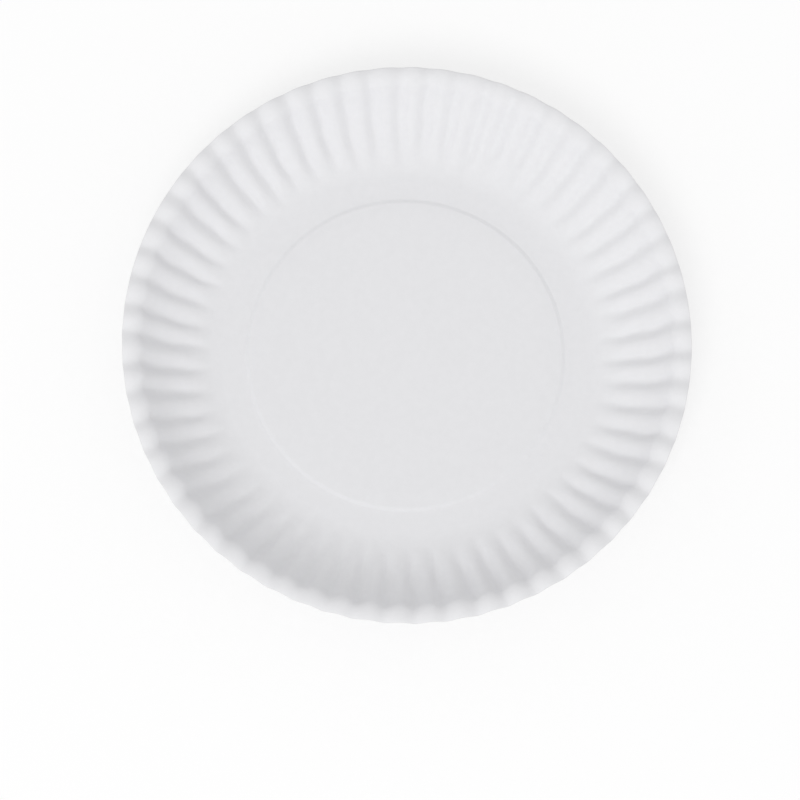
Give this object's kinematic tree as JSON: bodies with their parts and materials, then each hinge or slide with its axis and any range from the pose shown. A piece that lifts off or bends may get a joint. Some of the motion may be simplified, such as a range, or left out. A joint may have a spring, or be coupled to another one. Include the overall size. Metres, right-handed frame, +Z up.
{
  "type": "paper plate",
  "caption": "Round white paper plate pressed from one thin sheet, with a lifted flat middle, a curved wall and a fluted lip, made to hold food.",
  "frame": {"origin": "centre of the plate, on the surface that its flat foot ring stands on", "axes": "+Z straight up out of the plate, along its axis; X and Y lie in the surface it stands on, with +X through the ridge of one flute"},
  "size_m": [0.2196, 0.2192, 0.0263],
  "materials": {
    "paper": "uncoated, matt"
  },
  "bodies": {
    "root": {"plate": "paper"}
  },
  "joints": []
}
